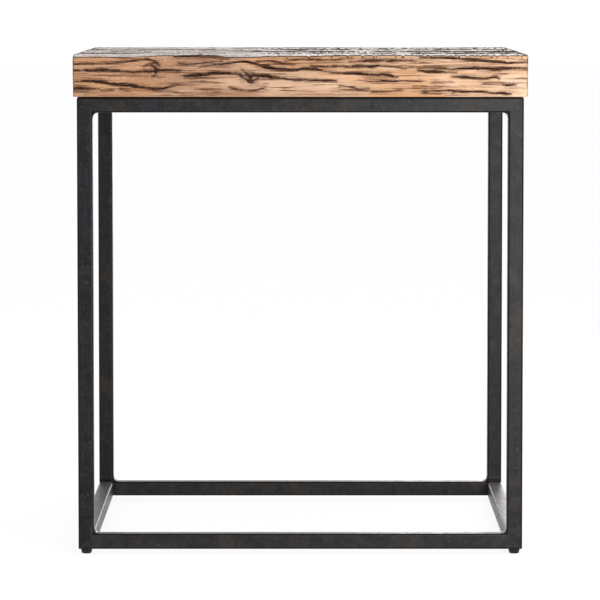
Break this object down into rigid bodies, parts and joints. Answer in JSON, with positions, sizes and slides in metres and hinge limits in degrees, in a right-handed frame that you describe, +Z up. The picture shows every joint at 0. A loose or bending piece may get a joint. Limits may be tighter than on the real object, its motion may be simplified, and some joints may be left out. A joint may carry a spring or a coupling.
{
  "type": "side table",
  "caption": "Square side table with a thick slab top of weathered boards on an open frame of mitred black square tube, standing on small screw-down levelling feet.",
  "frame": {"origin": "on the floor, under the middle of the table", "axes": "+Z up, +X to the right as seen from the front, the front faces -Y, the grain of the boards runs along X"},
  "size_m": [0.552, 0.552, 0.61],
  "materials": {
    "weathered_wood": "weathered and checked, wire-brushed, matt",
    "tongue_wood": "plain planed hardwood",
    "blackened_steel": "near-black satin with faint brush marks and mottling",
    "zinc_steel": "zinc plated",
    "black_plastic": "moulded, fluted rim"
  },
  "bodies": {
    "frame_and_top": {"board_front": "weathered_wood", "board_front_middle": "weathered_wood", "board_rear_middle": "weathered_wood", "board_rear": "weathered_wood", "board_tongues": "tongue_wood", "leg_front_left": "blackened_steel", "leg_front_right": "blackened_steel", "leg_rear_left": "blackened_steel", "leg_rear_right": "blackened_steel", "top_rail_front": "blackened_steel", "top_rail_rear": "blackened_steel", "top_rail_left": "blackened_steel", "top_rail_right": "blackened_steel", "bottom_rail_front": "blackened_steel", "bottom_rail_rear": "blackened_steel", "bottom_rail_left": "blackened_steel", "bottom_rail_right": "blackened_steel", "upper_corner_welds": "blackened_steel", "lower_corner_welds": "blackened_steel", "top_screws": "zinc_steel", "foot_weld_nuts": "zinc_steel"},
    "stud_front_left": {"foot_stud_front_left": "zinc_steel"},
    "foot_front_left": {"foot_base_front_left": "black_plastic"},
    "stud_front_right": {"foot_stud_front_right": "zinc_steel"},
    "foot_front_right": {"foot_base_front_right": "black_plastic"},
    "stud_rear_left": {"foot_stud_rear_left": "zinc_steel"},
    "foot_rear_left": {"foot_base_rear_left": "black_plastic"},
    "stud_rear_right": {"foot_stud_rear_right": "zinc_steel"},
    "foot_rear_right": {"foot_base_rear_right": "black_plastic"}
  },
  "joints": [
    {"name": "foot_travel_front_left", "type": "slide", "parent": "frame_and_top", "child": "stud_front_left", "axis": [0, 0, -1], "range_m": [0, 0.008]},
    {"name": "foot_turn_front_left", "type": "hinge", "parent": "stud_front_left", "child": "foot_front_left", "pos_m": [-0.26148, -0.26148, 0], "axis": [0, 0, -1], "range_deg": [0, 2880]},
    {"name": "foot_travel_front_right", "type": "slide", "parent": "frame_and_top", "child": "stud_front_right", "axis": [0, 0, -1], "range_m": [0, 0.008]},
    {"name": "foot_turn_front_right", "type": "hinge", "parent": "stud_front_right", "child": "foot_front_right", "pos_m": [0.26148, -0.26148, 0], "axis": [0, 0, -1], "range_deg": [0, 2880]},
    {"name": "foot_travel_rear_left", "type": "slide", "parent": "frame_and_top", "child": "stud_rear_left", "axis": [0, 0, -1], "range_m": [0, 0.008]},
    {"name": "foot_turn_rear_left", "type": "hinge", "parent": "stud_rear_left", "child": "foot_rear_left", "pos_m": [-0.26148, 0.26148, 0], "axis": [0, 0, -1], "range_deg": [0, 2880]},
    {"name": "foot_travel_rear_right", "type": "slide", "parent": "frame_and_top", "child": "stud_rear_right", "axis": [0, 0, -1], "range_m": [0, 0.008]},
    {"name": "foot_turn_rear_right", "type": "hinge", "parent": "stud_rear_right", "child": "foot_rear_right", "pos_m": [0.26148, 0.26148, 0], "axis": [0, 0, -1], "range_deg": [0, 2880]}
  ],
  "couplings": [
    {"joint": "foot_turn_front_left", "follows": "foot_travel_front_left", "rad_per_m": 6283.2},
    {"joint": "foot_turn_front_right", "follows": "foot_travel_front_right", "rad_per_m": 6283.2},
    {"joint": "foot_turn_rear_left", "follows": "foot_travel_rear_left", "rad_per_m": 6283.2},
    {"joint": "foot_turn_rear_right", "follows": "foot_travel_rear_right", "rad_per_m": 6283.2}
  ]
}
